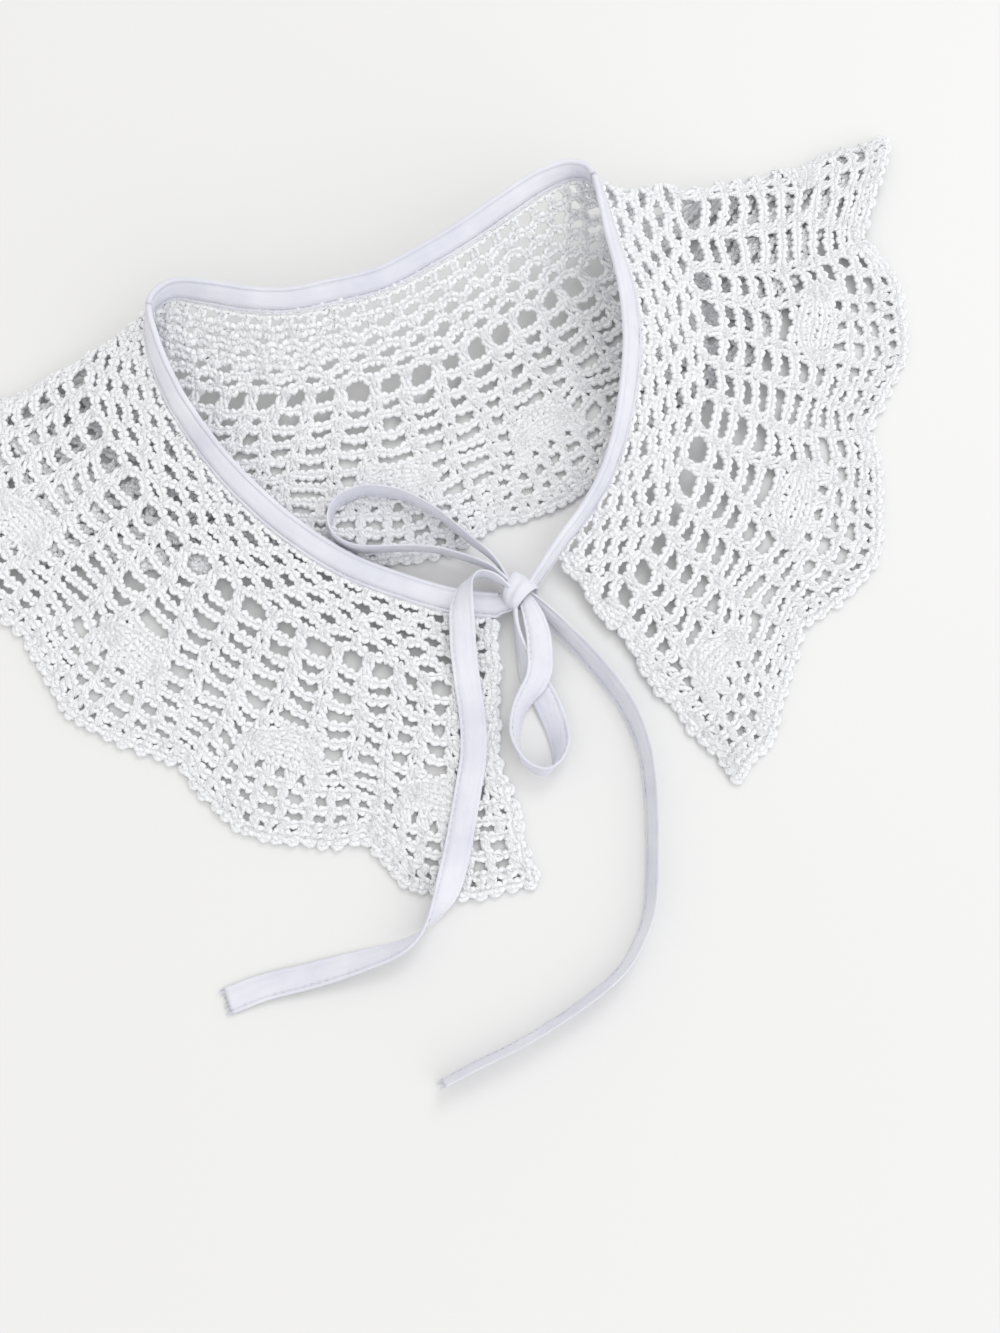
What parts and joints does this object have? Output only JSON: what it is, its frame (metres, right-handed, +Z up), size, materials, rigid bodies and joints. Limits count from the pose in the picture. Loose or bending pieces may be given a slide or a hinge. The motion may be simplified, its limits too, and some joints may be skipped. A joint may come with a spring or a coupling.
{
  "type": "crochet collar with tape ties",
  "caption": "Scalloped crochet net collar, laid closed and folded at the shoulders, with a cotton tape binding tied in a bow.",
  "frame": {"origin": "middle of the footprint, on the table that the collar lies on", "axes": "+X to the wearer's left front as the collar lies facing up, +Y from the bow towards the back of the neck, +Z up"},
  "size_m": [0.3826, 0.3742, 0.0417],
  "materials": {
    "crochet_cotton": "matte white cotton yarn",
    "cotton_tape": "smooth white woven cotton bias tape"
  },
  "bodies": {
    "root": {"front_left_panel": "crochet_cotton", "back_panel": "crochet_cotton", "front_right_panel": "crochet_cotton", "neck_binding_left": "cotton_tape", "neck_binding_back": "cotton_tape", "neck_binding_right": "cotton_tape", "bow_knot": "cotton_tape", "bow_loop_left": "cotton_tape", "bow_loop_down": "cotton_tape", "tie_tail_left": "cotton_tape", "tie_tail_right": "cotton_tape"}
  },
  "joints": []
}
